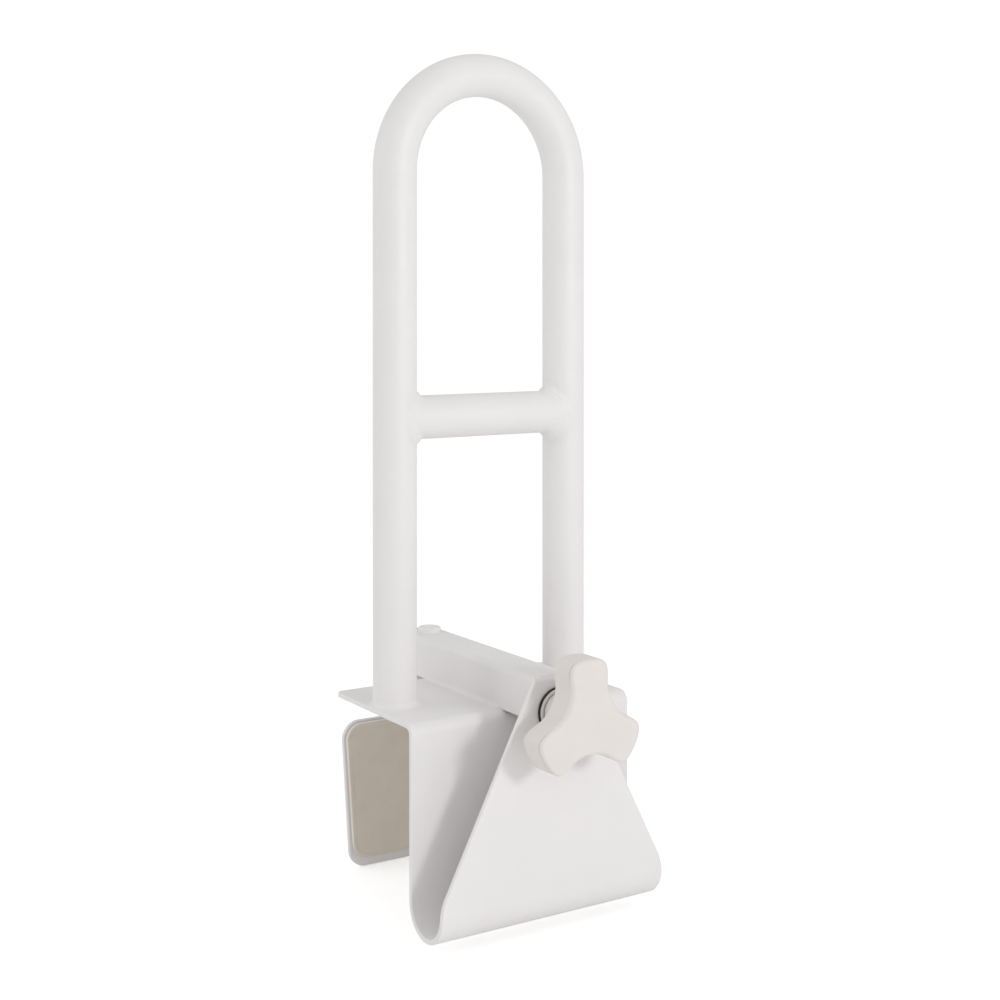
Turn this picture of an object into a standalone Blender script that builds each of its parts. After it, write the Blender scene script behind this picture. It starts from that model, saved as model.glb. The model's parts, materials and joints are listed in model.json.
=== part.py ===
"""Clamp-on bath-tub grab bar: a welded tube handle on a formed bracket, with a screw-driven rear jaw.

Frame: origin at the centre of the underside of the top plate, where the bracket rests on the tub's rim.
+X runs along the rim from the left post to the right post, +Y from the knob to the rear jaw, +Z up.
"""
import math

import bmesh
import bpy
from mathutils import Vector

# Driving dimensions, in metres.
GAP = 0.0003            # clearance between pieces that touch on the real object
TUBE_RADIUS = 0.0127
TUBE_WALL = 0.0016
POST_X = 0.05875
HANDLE_TOP = 0.381
CROSSBAR_Z = 0.1672

SHEET = 0.003           # bracket and jaw plate
PLATE_HALF_WIDTH = 0.0737
PLATE_HALF_DEPTH = 0.046
PLATE_CORNER = 0.005
FRONT_BEND = 0.0065     # outer radius between top plate and front plate
FOLD_RADIUS = 0.018     # outer radius of the U fold
FOLD_BOTTOM = -0.111
FLAP_TOP_EDGE = 0.0025
FLAP_TOP_HALF = 0.0132  # flap's half width at its top
FLAP_SHOULDER_Z = -0.0885
FLAP_SHOULDER = 0.030   # radius where the taper meets the full width

CHANNEL_SHEET = 0.0025  # guide channel and jaw carriage
CHANNEL_HALF = 0.0127
CHANNEL_TOP = 0.0274
CHANNEL_REAR = 0.072
CHANNEL_BEND = 0.004
CARRIAGE_HALF = 0.0097
CARRIAGE_TOP = 0.0243
CARRIAGE_BOTTOM = 0.0034
CARRIAGE_FRONT = -0.020
CARRIAGE_BEND = 0.003
OPENING_TRAVEL = 0.050

SCREW_Z = 0.0085        # height of the clamp screw's axis
SCREW_RADIUS = 0.004
SCREW_FRONT = -0.097
SCREW_REAR = 0.045
SCREW_CHAMFER = 0.0008
NUT_BLOCK_LENGTH = 0.012
NUT_BLOCK_TOP = 0.0140

JAW_FRONT = 0.077       # front face of the rear jaw plate at rest
JAW_TOP = -0.0255
JAW_BOTTOM = -0.1165
JAW_TOP_HALF = 0.054
JAW_BOTTOM_HALF = 0.0474
JAW_CORNER = 0.011
NECK_TOP = 0.0032
NECK_FILLET = 0.006
LEG_DEPTH = 0.0155      # channel up the back of the jaw plate, which carries its load to the carriage
LEG_TOP = 0.0194
LEG_BOTTOM = -0.095
LEG_BEND = 0.0025
REAR_PAD_THICKNESS = 0.0027
REAR_PAD_SIDE_MARGIN = 0.0013
REAR_PAD_BOTTOM_MARGIN = 0.006
PAD_CORNER = 0.010

FRONT_PAD_THICKNESS = 0.0024
FRONT_PAD_HALF_WIDTH = 0.062
FRONT_PAD_TOP = -0.014
FRONT_PAD_BOTTOM = -0.088

STOP_Y = 0.062
STOP_SHANK = 0.003
STOP_TIP = 0.0204
STOP_HEAD_RADIUS = 0.0072
STOP_HEAD_HEIGHT = 0.0030
STOP_DIMPLE = 0.0014    # radius of the small hollow in the head
STOP_CHAMFER = 0.0006
STOP_NUT_HALF = 0.005   # half its width across flats
STOP_NUT_HEIGHT = 0.0033

KNOB_FRONT = -0.1127
KNOB_LOBE_DEPTH = 0.0189
KNOB_TIP = 0.0342       # distance from the axis to a lobe's end
KNOB_TIP_ARC = 0.032    # radius of the lobe's rounded end
KNOB_LOBE_HALF = 0.0122
KNOB_TIP_CORNER = 0.0062
KNOB_VALLEY = 0.022
KNOB_REST_TURN = math.radians(1.5)
KNOB_EDGE = 0.0022
POCKET_DEPTH = 0.0012   # space in front of the insert
HUB_RADIUS = 0.0112
HUB_REAR = -0.0827
INSERT_HALF = 0.0065    # half its width across flats
INSERT_FRONT = -0.0965

FRICTION_WASHER_RADIUS = 0.0130
FRICTION_WASHER_FRONT = -0.0804
KNOB_WASHER_RADIUS = 0.0126
KNOB_WASHER_FRONT = -0.0824
RETAINING_WASHER_RADIUS = 0.0085
RETAINING_WASHER_REAR = -0.0745
COLLAR_RADIUS = 0.008
COLLAR_REAR = -0.0662
COLLAR_PIN_RADIUS = 0.0015

POST_WELD = 0.0032      # leg lengths of the weld beads
CROSSBAR_WELD = 0.0028
CHANNEL_WELD = 0.003
JAW_WELD = 0.0025
CROWN = 0.72            # height of a weld's crown as a share of its leg

THROUGH = 0.010         # how far a cutter reaches past what it cuts
ARC_STEP = math.radians(12)
KNOB_ARC_STEP = math.radians(8)
TURN_STEPS = 32
PIN_STEPS = 16
TUBE_BEVEL = 12         # a tube has twice this plus four sides
ARCH_STEPS = 24
SEAM_STEPS = 40

PLATE_TOP = SHEET
FRONT_FACE = -PLATE_HALF_DEPTH
FRONT_PLATE_REAR = FRONT_FACE + SHEET
FLAP_FRONT = FRONT_PLATE_REAR - 2 * FOLD_RADIUS
FLAP_REAR = FLAP_FRONT + SHEET

WHITE_COAT = ((0.83, 0.825, 0.82, 1), 0.35, 0.0)
WHITE_PLASTIC = ((0.82, 0.81, 0.79, 1), 0.5, 0.0)
TAUPE_RUBBER = ((0.40, 0.36, 0.31, 1), 0.75, 0.0)
CHROME = ((0.80, 0.80, 0.80, 1), 0.12, 1.0)
ZINC = ((0.62, 0.62, 0.60, 1), 0.35, 1.0)
BRASS = ((0.75, 0.58, 0.30, 1), 0.35, 1.0)
DARK_NYLON = ((0.04, 0.04, 0.04, 1), 0.5, 0.0)

for old in list(bpy.data.objects):
    bpy.data.objects.remove(old, do_unlink=True)
PARTS = bpy.data.collections.new("clamp_on_grab_bar")
CUTTERS = bpy.data.collections.new("cutters")
bpy.context.scene.collection.children.link(PARTS)
bpy.context.scene.collection.children.link(CUTTERS)


def place(obj, finish):
    """Put an object among the parts with its finish, or among the cutters when it has none."""
    if finish is None:
        obj.hide_render = True
        obj.display_type = "WIRE"
        CUTTERS.objects.link(obj)
        return obj
    PARTS.objects.link(obj)
    colour, roughness, metallic = finish
    material = bpy.data.materials.new(obj.name)
    material.use_nodes = True
    shader = material.node_tree.nodes["Principled BSDF"]
    shader.inputs["Base Color"].default_value = colour
    shader.inputs["Roughness"].default_value = roughness
    shader.inputs["Metallic"].default_value = metallic
    obj.data.materials.append(material)
    return obj


def mesh_from_curve(curve_object):
    """Turn a curve object into a welded mesh object of the same name and place."""
    bpy.context.scene.collection.objects.link(curve_object)
    graph = bpy.context.evaluated_depsgraph_get()
    mesh = bpy.data.meshes.new_from_object(curve_object.evaluated_get(graph))
    welded = bmesh.new()
    welded.from_mesh(mesh)
    bmesh.ops.remove_doubles(welded, verts=welded.verts, dist=0.000005)
    bmesh.ops.recalc_face_normals(welded, faces=welded.faces)
    welded.to_mesh(mesh)
    welded.free()
    name, matrix = curve_object.name, curve_object.matrix_world.copy()
    bpy.data.objects.remove(curve_object, do_unlink=True)
    obj = bpy.data.objects.new(name, mesh)
    obj.matrix_world = matrix
    return obj


def rounded(corners, step=ARC_STEP):
    """Points of a closed outline given as corners (x, y, radius), with each radius as an arc."""
    points = []
    for i, (x, y, radius) in enumerate(corners):
        if radius == 0:
            points.append((x, y))
            continue
        before, after = corners[i - 1], corners[(i + 1) % len(corners)]
        to_before = math.atan2(before[1] - y, before[0] - x)
        to_after = math.atan2(after[1] - y, after[0] - x)
        opening = (to_after - to_before + math.pi) % (2 * math.pi) - math.pi
        turn = math.copysign(math.pi - abs(opening), opening)
        reach = radius / math.sin(abs(opening) / 2)
        middle = to_before + opening / 2
        centre = (x + reach * math.cos(middle), y + reach * math.sin(middle))
        first = to_before - math.copysign(math.pi / 2, opening)
        steps = max(2, math.ceil(abs(turn) / step))
        for k in range(steps + 1):
            angle = first - turn * k / steps
            points.append((centre[0] + radius * math.cos(angle), centre[1] + radius * math.sin(angle)))
    return [p for i, p in enumerate(points) if math.dist(p, points[i - 1]) > 0.00001]


def flat_piece(name, outline, low, high, across, finish):
    """Extrude an outline from low to high along X, Y or Z; its points are in the other two axes."""
    curve = bpy.data.curves.new(name, "CURVE")
    curve.dimensions = "2D"
    curve.fill_mode = "BOTH"
    curve.extrude = (high - low) / 2
    spline = curve.splines.new("POLY")
    spline.points.add(len(outline) - 1)
    for point, (x, y) in zip(spline.points, outline):
        point.co = (x, y, 0, 1)
    spline.use_cyclic_u = True
    obj = bpy.data.objects.new(name, curve)
    middle = (low + high) / 2
    quarter = math.pi / 2
    if across == "X":
        obj.location = (middle, 0, 0)
        obj.rotation_euler = (quarter, 0, quarter)
    elif across == "Y":
        obj.location = (0, middle, 0)
        obj.rotation_euler = (quarter, 0, 0)
    else:
        obj.location = (0, 0, middle)
    return place(mesh_from_curve(obj), finish)


def tube(name, path, radius, finish, sides_bevel=TUBE_BEVEL, cyclic=False):
    """A round bar along a path of points."""
    curve = bpy.data.curves.new(name, "CURVE")
    curve.dimensions = "3D"
    curve.bevel_depth = radius
    curve.bevel_resolution = sides_bevel
    curve.use_fill_caps = not cyclic
    spline = curve.splines.new("POLY")
    spline.points.add(len(path) - 1)
    for point, (x, y, z) in zip(spline.points, path):
        point.co = (x, y, z, 1)
    spline.use_cyclic_u = cyclic
    obj = mesh_from_curve(bpy.data.objects.new(name, curve))
    obj.data.shade_smooth()
    obj.data.set_sharp_from_angle(angle=math.radians(40))
    return place(obj, finish)


def rod(name, start, end, radius, finish, sides=TURN_STEPS):
    """A cylinder between two points."""
    return tube(name, [start, end], radius, finish, sides_bevel=(sides - 4) // 2)


def turned(name, profile, centre, along, finish, closed=False, steps=TURN_STEPS):
    """Turn a profile of (radius, height) points; heights run along +Z, or towards the front on -Y."""
    mesh = bpy.data.meshes.new(name)
    edges = [(i, i + 1) for i in range(len(profile) - 1)]
    if closed:
        edges.append((len(profile) - 1, 0))
    mesh.from_pydata([(r, 0, h) for r, h in profile], edges, [])
    obj = bpy.data.objects.new(name, mesh)
    obj.location = centre
    if along == "-Y":
        obj.rotation_euler = (math.pi / 2, 0, 0)
    screw = obj.modifiers.new("turn", "SCREW")
    screw.axis = "Z"
    screw.steps = steps
    screw.render_steps = steps
    screw.use_merge_vertices = True
    screw.merge_threshold = 0.00001
    screw.use_smooth_shade = True
    return place(obj, finish)


def ring(name, bore, radius, front, rear, finish):
    """A flat ring on the clamp screw's axis between two Y positions."""
    profile = [(bore, -front), (radius, -front), (radius, -rear), (bore, -rear)]
    return turned(name, profile, (0, 0, SCREW_Z), "-Y", finish, closed=True)


def cut(obj, cutter, operation="DIFFERENCE"):
    boolean = obj.modifiers.new(cutter.name, "BOOLEAN")
    boolean.operation = operation
    boolean.solver = "EXACT"
    boolean.object = cutter
    return obj


def hexagon(half_width, centre_x, centre_y, first_corner):
    corner = half_width / math.cos(math.pi / 6)
    angles = [first_corner + math.pi / 3 * k for k in range(6)]
    return [(centre_x + corner * math.cos(a), centre_y + corner * math.sin(a)) for a in angles]


def handle_path(foot):
    """The handle's centre line: up the left post, round the arch, down the right post."""
    arch_z = HANDLE_TOP - TUBE_RADIUS - POST_X
    arch = []
    for k in range(ARCH_STEPS + 1):
        angle = math.pi * (1 - k / ARCH_STEPS)
        arch.append((POST_X * math.cos(angle), 0, arch_z + POST_X * math.sin(angle)))
    return [(-POST_X, 0, foot)] + arch + [(POST_X, 0, foot)]


def build_handle():
    foot = PLATE_TOP + GAP
    bore = TUBE_RADIUS - TUBE_WALL
    handle = tube("handle_tube", handle_path(foot), TUBE_RADIUS, WHITE_COAT)
    cut(handle, tube("handle_bore", handle_path(foot - THROUGH), bore, None))

    ends = [(-POST_X, 0, CROSSBAR_Z), (POST_X, 0, CROSSBAR_Z)]
    crossbar = rod("crossbar", *ends, TUBE_RADIUS, WHITE_COAT)
    past = POST_X + THROUGH
    cut(crossbar, rod("crossbar_bore", (-past, 0, CROSSBAR_Z), (past, 0, CROSSBAR_Z), bore, None))
    reach = TUBE_RADIUS + THROUGH
    for side, name in ((-1, "left"), (1, "right")):
        cut(crossbar, rod(name + "_post_space", (side * POST_X, 0, CROSSBAR_Z - reach),
                          (side * POST_X, 0, CROSSBAR_Z + reach), TUBE_RADIUS + GAP, None))
        build_crossbar_weld(side, name)
        build_post_weld(side, name)


def seam_point(angle):
    """A point of the seam where the crossbar meets a post, clear of both, seen from the post's axis.

    Two tubes of one radius meet along two crossing ellipses, rounded here where they cross.
    """
    radius = TUBE_RADIUS + GAP
    rounding = 0.02     # share of the radius squared by which the seam stays off the post's axis
    away = radius * math.sqrt(math.sin(angle) ** 2 + rounding)
    return Vector((away, radius * math.cos(angle), radius * math.sin(angle)))


def build_crossbar_weld(side, name):
    """A fillet of weld round the seam: each section has a corner, a foot on each tube and a crown."""
    radius = TUBE_RADIUS + GAP
    small = 0.01        # angle between the two points that give the seam's direction
    mesh = bmesh.new()
    sections = []
    for k in range(SEAM_STEPS):
        angle = 2 * math.pi * k / SEAM_STEPS
        corner = seam_point(angle)
        along = (seam_point(angle + small) - seam_point(angle - small)).normalized()
        post_normal = Vector((corner.x, corner.y, 0)).normalized()
        bar_normal = Vector((0, corner.y, corner.z)).normalized()
        outward = (post_normal + bar_normal).normalized()
        aside = outward.cross(along)
        foot = math.sqrt(0.5) + (1 - math.sqrt(0.5)) * post_normal.dot(bar_normal) ** 2
        lift = math.sqrt(1 - foot ** 2)
        on_bar = corner + CROSSBAR_WELD * (foot * aside + lift * outward)
        on_post = corner + CROSSBAR_WELD * (-foot * aside + lift * outward)
        flat = on_bar.yz.normalized() * radius
        on_bar.y, on_bar.z = flat
        on_post.xy = on_post.xy.normalized() * radius
        crown = corner + CROSSBAR_WELD * CROWN * outward
        ring_points = []
        for point in (corner, on_bar, crown, on_post):
            place_x = side * (POST_X - point.x)
            ring_points.append(mesh.verts.new((place_x, point.y, CROSSBAR_Z + point.z)))
        sections.append(ring_points)
    for i, section in enumerate(sections):
        before = sections[i - 1]
        for j in range(4):
            mesh.faces.new((before[j - 1], before[j], section[j], section[j - 1]))
    bmesh.ops.recalc_face_normals(mesh, faces=mesh.faces)
    data = bpy.data.meshes.new("crossbar_weld_" + name)
    mesh.to_mesh(data)
    mesh.free()
    place(bpy.data.objects.new(data.name, data), WHITE_COAT)


def build_post_weld(side, name):
    """A concave fillet of weld round a post's foot, cut off flush with the plate's side."""
    inner = TUBE_RADIUS + GAP
    low = PLATE_TOP + GAP
    steps = 5
    lip = 0.0002        # height of the bead's thin edges
    profile = []
    for k in range(steps + 1):
        angle = math.pi / 2 * k / steps
        profile.append((inner + POST_WELD * (1 - math.cos(angle)) + lip,
                        low + POST_WELD * (1 - math.sin(angle)) + lip))
    profile = [(inner, profile[0][1])] + profile + [(profile[-1][0], low), (inner, low)]
    bead = turned("post_weld_" + name, profile, (side * POST_X, 0, 0), "+Z", WHITE_COAT, closed=True)
    edge, outside = side * (PLATE_HALF_WIDTH - GAP), side * (PLATE_HALF_WIDTH + THROUGH)
    reach = TUBE_RADIUS + THROUGH
    beyond = [(edge, -reach), (outside, -reach), (outside, reach), (edge, reach)]
    cut(bead, flat_piece(name + "_plate_edge", beyond, -THROUGH, THROUGH, "Z", None))


def build_bracket():
    """Top plate, front plate, U fold and tapered flap, formed from one sheet."""
    inner_fold = FOLD_RADIUS - SHEET
    section = rounded([
        (PLATE_HALF_DEPTH, PLATE_TOP, 0),
        (FRONT_FACE, PLATE_TOP, FRONT_BEND),
        (FRONT_FACE, FOLD_BOTTOM + SHEET, inner_fold),
        (FLAP_REAR, FOLD_BOTTOM + SHEET, inner_fold),
        (FLAP_REAR, CHANNEL_TOP, 0),
        (FLAP_FRONT, CHANNEL_TOP, FLAP_TOP_EDGE),
        (FLAP_FRONT, FOLD_BOTTOM, FOLD_RADIUS),
        (FRONT_PLATE_REAR, FOLD_BOTTOM, FOLD_RADIUS),
        (FRONT_PLATE_REAR, 0, FRONT_BEND - SHEET),
        (PLATE_HALF_DEPTH, 0, 0)])
    bracket = flat_piece("clamp_bracket", section, -PLATE_HALF_WIDTH, PLATE_HALF_WIDTH, "X", WHITE_COAT)
    slope = (PLATE_HALF_WIDTH - FLAP_TOP_HALF) / (CHANNEL_TOP - FLAP_SHOULDER_Z)
    past = 0.0004       # the arcs cross the sheet's side instead of lying in it
    near_corner = 2 * PLATE_CORNER
    above = CHANNEL_TOP + THROUGH
    outside, behind = PLATE_HALF_WIDTH + THROUGH, PLATE_HALF_DEPTH + THROUGH
    for side, name in ((-1, "left"), (1, "right")):
        taper = rounded([
            (side * (FLAP_TOP_HALF - slope * THROUGH), above, 0),
            (side * (PLATE_HALF_WIDTH + past), FLAP_SHOULDER_Z - past / slope, FLAP_SHOULDER),
            (side * (PLATE_HALF_WIDTH + past), FOLD_BOTTOM, 0),
            (side * outside, FOLD_BOTTOM, 0),
            (side * outside, above, 0)])
        middle_of_fold = FLAP_FRONT + FOLD_RADIUS
        cut(bracket, flat_piece(name + "_taper", taper, FLAP_FRONT - THROUGH, middle_of_fold, "Y", None))
        corner = rounded([
            (side * (PLATE_HALF_WIDTH - near_corner), PLATE_HALF_DEPTH + past, 0),
            (side * (PLATE_HALF_WIDTH + past), PLATE_HALF_DEPTH + past, PLATE_CORNER),
            (side * (PLATE_HALF_WIDTH + past), PLATE_HALF_DEPTH - near_corner, 0),
            (side * outside, PLATE_HALF_DEPTH - near_corner, 0),
            (side * outside, behind, 0),
            (side * (PLATE_HALF_WIDTH - near_corner), behind, 0)])
        cut(bracket, flat_piece(name + "_rear_corner", corner, -THROUGH, THROUGH, "Z", None))
    cut(bracket, rod("flap_hole", (0, FLAP_FRONT - THROUGH, SCREW_Z), (0, FLAP_REAR + THROUGH, SCREW_Z),
                     SCREW_RADIUS + 2 * GAP, None))


def build_channel():
    """The inverted channel welded on the top plate, which guides the jaw carriage."""
    inside = CHANNEL_HALF - CHANNEL_SHEET
    bottom = PLATE_TOP + GAP
    ceiling = CHANNEL_TOP - CHANNEL_SHEET
    inner_bend = CHANNEL_BEND - CHANNEL_SHEET
    section = rounded([
        (-CHANNEL_HALF, bottom, 0), (-CHANNEL_HALF, CHANNEL_TOP, CHANNEL_BEND),
        (CHANNEL_HALF, CHANNEL_TOP, CHANNEL_BEND), (CHANNEL_HALF, bottom, 0),
        (inside, bottom, 0), (inside, ceiling, inner_bend),
        (-inside, ceiling, inner_bend), (-inside, bottom, 0)])
    channel = flat_piece("guide_channel", section, FLAP_REAR + GAP, CHANNEL_REAR, "Y", WHITE_COAT)
    cut(channel, rod("stop_hole", (0, STOP_Y, CHANNEL_TOP - THROUGH), (0, STOP_Y, CHANNEL_TOP + THROUGH),
                     STOP_SHANK + GAP, None))
    wall = CHANNEL_HALF + GAP
    end_margin = 0.002      # the welds stop short of the plate's rear edge and of the channel's bends
    for side, name in ((-1, "left"), (1, "right")):
        bead = [(side * wall, bottom), (side * (wall + CHANNEL_WELD), bottom),
                (side * wall, bottom + CHANNEL_WELD)]
        weld_start = FRONT_FACE + FRONT_BEND
        flat_piece("channel_weld_" + name, bead, weld_start, PLATE_HALF_DEPTH - end_margin, "Y",
                   WHITE_COAT)
        back = FLAP_REAR + GAP
        bead = [(side * wall, back), (side * (wall + CHANNEL_WELD), back), (side * wall, back + CHANNEL_WELD)]
        flat_piece("flap_weld_" + name, bead, bottom, CHANNEL_TOP - CHANNEL_BEND - end_margin, "Z",
                   WHITE_COAT)


def build_stop_bolt():
    """The bolt in the channel's top; its nut runs in the carriage's slot and stops it sliding out."""
    low = CHANNEL_TOP + GAP
    top = low + STOP_HEAD_HEIGHT
    edge = STOP_HEAD_RADIUS
    dome = [(edge - 0.0016, top - 0.0002), (edge - 0.0004, top - 0.0010), (edge, top - 0.0018)]
    profile = [(0, top - 0.0010), (STOP_DIMPLE, top - 0.0008), (STOP_DIMPLE, top), *dome, (edge, low),
               (STOP_SHANK, low), (STOP_SHANK, STOP_TIP + STOP_CHAMFER),
               (STOP_SHANK - STOP_CHAMFER, STOP_TIP), (0, STOP_TIP)]
    turned("stop_bolt", profile, (0, STOP_Y, 0), "+Z", WHITE_COAT)
    nut_top = CHANNEL_TOP - CHANNEL_SHEET - GAP
    nut = flat_piece("stop_nut", hexagon(STOP_NUT_HALF, 0, STOP_Y, math.pi / 2),
                     nut_top - STOP_NUT_HEIGHT, nut_top, "Z", ZINC)
    cut(nut, rod("stop_nut_bore", (0, STOP_Y, nut_top - THROUGH), (0, STOP_Y, nut_top + THROUGH),
                 STOP_SHANK + GAP, None))


def build_carriage():
    """The channel that slides inside the guide channel, with the screw's nut welded in its front end."""
    inside = CARRIAGE_HALF - CHANNEL_SHEET
    ceiling = CARRIAGE_TOP - CHANNEL_SHEET
    section = rounded([
        (-CARRIAGE_HALF, CARRIAGE_BOTTOM, 0), (-CARRIAGE_HALF, CARRIAGE_TOP, CARRIAGE_BEND),
        (CARRIAGE_HALF, CARRIAGE_TOP, CARRIAGE_BEND), (CARRIAGE_HALF, CARRIAGE_BOTTOM, 0),
        (inside, CARRIAGE_BOTTOM, 0), (inside, ceiling, 0), (-inside, ceiling, 0),
        (-inside, CARRIAGE_BOTTOM, 0)])
    rear = JAW_FRONT + SHEET + LEG_DEPTH
    carriage = flat_piece("jaw_carriage", section, CARRIAGE_FRONT, rear, "Y", ZINC)
    slot_half = STOP_NUT_HALF + 2 * GAP
    nut_corner = STOP_NUT_HALF / math.cos(math.pi / 6)
    slot_front = STOP_Y - OPENING_TRAVEL - nut_corner - GAP
    slot_rear = rear + THROUGH
    slot = [(-slot_half, slot_front), (slot_half, slot_front),
            (slot_half, slot_rear), (-slot_half, slot_rear)]
    cut(carriage, flat_piece("carriage_slot", slot, ceiling - SHEET, CARRIAGE_TOP + THROUGH, "Z", None))

    half = inside - GAP
    block = [(-half, CARRIAGE_BOTTOM), (half, CARRIAGE_BOTTOM), (half, NUT_BLOCK_TOP), (-half, NUT_BLOCK_TOP)]
    nut_rear = CARRIAGE_FRONT + NUT_BLOCK_LENGTH
    nut = flat_piece("carriage_nut", block, CARRIAGE_FRONT, nut_rear, "Y", ZINC)
    cut(nut, rod("carriage_nut_bore", (0, CARRIAGE_FRONT - THROUGH, SCREW_Z),
                 (0, nut_rear + THROUGH, SCREW_Z), SCREW_RADIUS + GAP, None))


def build_jaw():
    """The rear jaw plate, the channel that hangs it from the carriage, and its pad."""
    outline = rounded([
        (-CARRIAGE_HALF, NECK_TOP, 0), (-CARRIAGE_HALF, JAW_TOP, NECK_FILLET),
        (-JAW_TOP_HALF, JAW_TOP, JAW_CORNER), (-JAW_BOTTOM_HALF, JAW_BOTTOM, JAW_CORNER),
        (JAW_BOTTOM_HALF, JAW_BOTTOM, JAW_CORNER), (JAW_TOP_HALF, JAW_TOP, JAW_CORNER),
        (CARRIAGE_HALF, JAW_TOP, NECK_FILLET), (CARRIAGE_HALF, NECK_TOP, 0)])
    flat_piece("jaw_plate", outline, JAW_FRONT, JAW_FRONT + SHEET, "Y", WHITE_COAT)

    near = JAW_FRONT + SHEET + GAP
    far = JAW_FRONT + SHEET + LEG_DEPTH
    half = CARRIAGE_HALF - CHANNEL_SHEET - GAP
    inside = half - CHANNEL_SHEET
    section = rounded([
        (-half, near, 0), (-half, far, LEG_BEND), (half, far, LEG_BEND), (half, near, 0),
        (inside, near, 0), (inside, far - CHANNEL_SHEET, 0), (-inside, far - CHANNEL_SHEET, 0),
        (-inside, near, 0)])
    flat_piece("jaw_leg", section, LEG_BOTTOM, LEG_TOP, "Z", WHITE_COAT)
    for side, name in ((-1, "left"), (1, "right")):
        wall = half + GAP
        bead = [(side * wall, near), (side * (wall + JAW_WELD), near), (side * wall, near + JAW_WELD)]
        flat_piece("jaw_weld_" + name, bead, LEG_BOTTOM + JAW_WELD, 0, "Z", WHITE_COAT)

    pad_top = JAW_TOP - REAR_PAD_SIDE_MARGIN
    pad_bottom = JAW_BOTTOM + REAR_PAD_BOTTOM_MARGIN
    top_half = JAW_TOP_HALF - REAR_PAD_SIDE_MARGIN
    bottom_half = JAW_BOTTOM_HALF - REAR_PAD_SIDE_MARGIN
    outline = rounded([
        (-top_half, pad_top, PAD_CORNER), (-bottom_half, pad_bottom, PAD_CORNER),
        (bottom_half, pad_bottom, PAD_CORNER), (top_half, pad_top, PAD_CORNER)])
    pad_rear = JAW_FRONT - GAP
    flat_piece("rear_pad", outline, pad_rear - REAR_PAD_THICKNESS, pad_rear, "Y", TAUPE_RUBBER)


def build_front_pad():
    """The rubber pad on the inner face of the front plate."""
    half = FRONT_PAD_HALF_WIDTH
    outline = rounded([
        (-half, FRONT_PAD_TOP, PAD_CORNER), (-half, FRONT_PAD_BOTTOM, PAD_CORNER),
        (half, FRONT_PAD_BOTTOM, PAD_CORNER), (half, FRONT_PAD_TOP, PAD_CORNER)])
    face = FRONT_PLATE_REAR + GAP
    flat_piece("front_pad", outline, face, face + FRONT_PAD_THICKNESS, "Y", TAUPE_RUBBER)


def build_screw():
    """The clamp screw, the collar pinned to it behind the flap, and the washers on both sides."""
    slim = SCREW_RADIUS - SCREW_CHAMFER
    profile = [(0, -SCREW_FRONT), (slim, -SCREW_FRONT), (SCREW_RADIUS, -SCREW_FRONT - SCREW_CHAMFER),
               (SCREW_RADIUS, -SCREW_REAR + SCREW_CHAMFER), (slim, -SCREW_REAR), (0, -SCREW_REAR)]
    screw = turned("clamp_screw", profile, (0, 0, SCREW_Z), "-Y", ZINC)
    bore = SCREW_RADIUS + GAP
    ring("friction_washer", bore, FRICTION_WASHER_RADIUS, FRICTION_WASHER_FRONT, FLAP_FRONT - GAP, DARK_NYLON)
    ring("knob_washer", bore, KNOB_WASHER_RADIUS, KNOB_WASHER_FRONT, FRICTION_WASHER_FRONT - GAP, CHROME)
    ring("retaining_washer", bore, RETAINING_WASHER_RADIUS, FLAP_REAR + GAP, RETAINING_WASHER_REAR, ZINC)
    collar_front = RETAINING_WASHER_REAR + GAP
    collar = ring("retaining_collar", bore, COLLAR_RADIUS, collar_front, COLLAR_REAR, ZINC)
    pin_y = (collar_front + COLLAR_REAR) / 2
    beyond = COLLAR_RADIUS + THROUGH
    hole = rod("pin_hole", (-beyond, pin_y, SCREW_Z), (beyond, pin_y, SCREW_Z), COLLAR_PIN_RADIUS + GAP, None,
               PIN_STEPS)
    cut(screw, hole)
    cut(collar, hole)
    reach = COLLAR_RADIUS - GAP
    rod("collar_pin", (-reach, pin_y, SCREW_Z), (reach, pin_y, SCREW_Z), COLLAR_PIN_RADIUS, ZINC,
        PIN_STEPS)


def knob_outline():
    """Three lobes with rounded ends, one pointing up, joined by wide round valleys."""
    corners = []
    valley = KNOB_LOBE_HALF / math.sin(math.pi / 3)
    # each lobe's end is one wide arc, with tighter arcs between it and the lobe's sides
    half_turn = math.asin((KNOB_LOBE_HALF - KNOB_TIP_CORNER) / (KNOB_TIP_ARC - KNOB_TIP_CORNER))
    arc_centre = KNOB_TIP - KNOB_TIP_ARC
    shoulder = arc_centre + (KNOB_TIP_ARC - KNOB_LOBE_HALF * math.sin(half_turn)) / math.cos(half_turn)
    apex = arc_centre + KNOB_TIP_ARC / math.cos(half_turn)
    for k in range(3):
        lobe = math.pi / 2 + KNOB_REST_TURN + 2 * math.pi / 3 * k
        for along, across, radius in ((shoulder, -KNOB_LOBE_HALF, KNOB_TIP_CORNER),
                                      (apex, 0, KNOB_TIP_ARC),
                                      (shoulder, KNOB_LOBE_HALF, KNOB_TIP_CORNER)):
            corners.append((along * math.cos(lobe) - across * math.sin(lobe),
                            SCREW_Z + along * math.sin(lobe) + across * math.cos(lobe), radius))
        between = lobe + math.pi / 3
        corners.append((valley * math.cos(between), SCREW_Z + valley * math.sin(between), KNOB_VALLEY))
    return rounded(corners, KNOB_ARC_STEP)


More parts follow.
